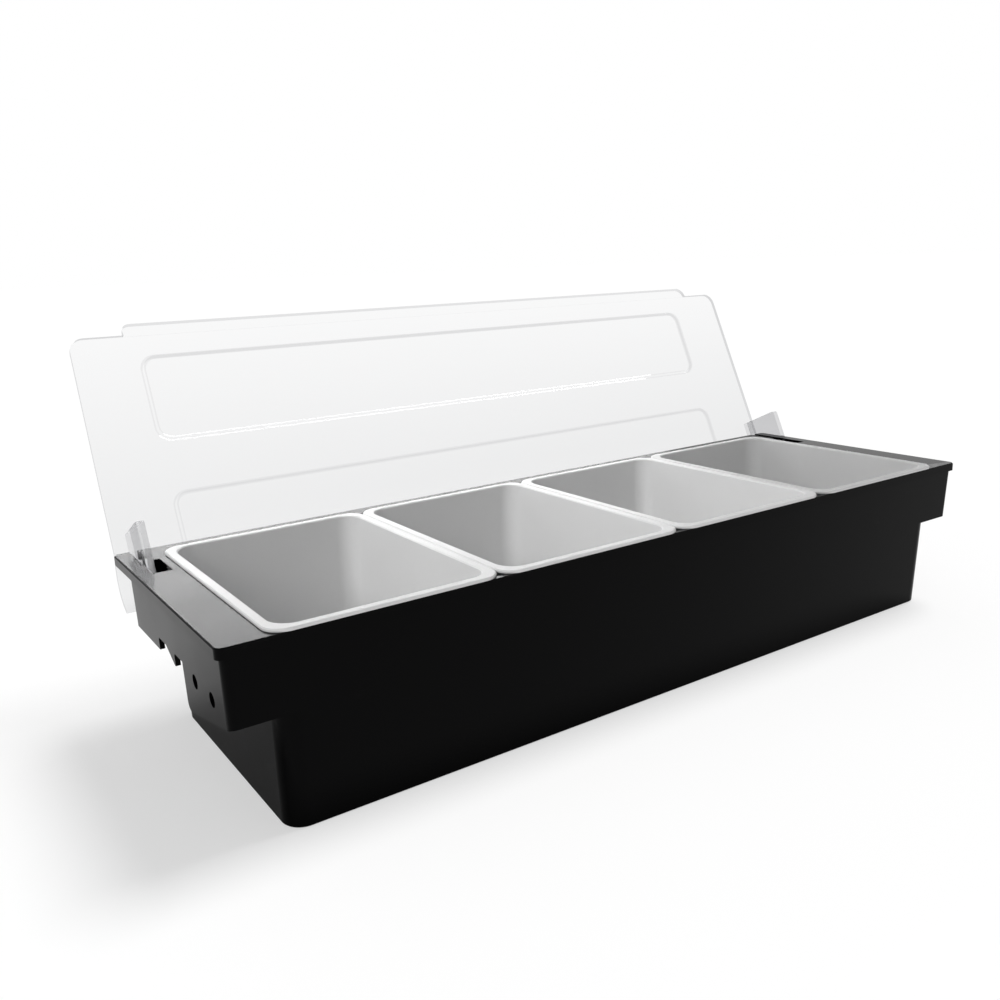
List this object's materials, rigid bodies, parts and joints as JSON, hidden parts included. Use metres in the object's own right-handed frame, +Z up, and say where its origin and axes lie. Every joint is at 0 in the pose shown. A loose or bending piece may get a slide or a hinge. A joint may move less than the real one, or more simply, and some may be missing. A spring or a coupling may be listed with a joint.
{
  "type": "bar garnish tray",
  "caption": "Long counter-top garnish tray: deep moulded base with end wings, lift-out rectangular inserts under one clear rear-hinged lid with pressed panels and a grip lip.",
  "frame": {"origin": "middle of the base's flat underside", "axes": "+X along the length to the right as seen from the front, +Y to the rear where the lid is hinged, +Z up"},
  "size_m": [0.5, 0.226, 0.206],
  "materials": {
    "base": "gloss black moulding",
    "lid": "clear, polished",
    "insert": "white, satin"
  },
  "bodies": {
    "base": {"base_tray": "base"},
    "lid": {"clear_lid": "lid"},
    "cup_1": {"insert_1": "insert"},
    "cup_2": {"insert_2": "insert"},
    "cup_3": {"insert_3": "insert"},
    "cup_4": {"insert_4": "insert"}
  },
  "joints": [
    {"name": "lid_hinge", "type": "hinge", "parent": "base", "child": "lid", "pos_m": [0, 0.067, 0.0812], "axis": [-1, 0, 0], "range_deg": [-115, 0]},
    {"name": "insert_1_lift", "type": "slide", "parent": "base", "child": "cup_1", "axis": [0, 0, 1], "range_m": [0, 0.08]},
    {"name": "insert_2_lift", "type": "slide", "parent": "base", "child": "cup_2", "axis": [0, 0, 1], "range_m": [0, 0.08]},
    {"name": "insert_3_lift", "type": "slide", "parent": "base", "child": "cup_3", "axis": [0, 0, 1], "range_m": [0, 0.08]},
    {"name": "insert_4_lift", "type": "slide", "parent": "base", "child": "cup_4", "axis": [0, 0, 1], "range_m": [0, 0.08]}
  ]
}
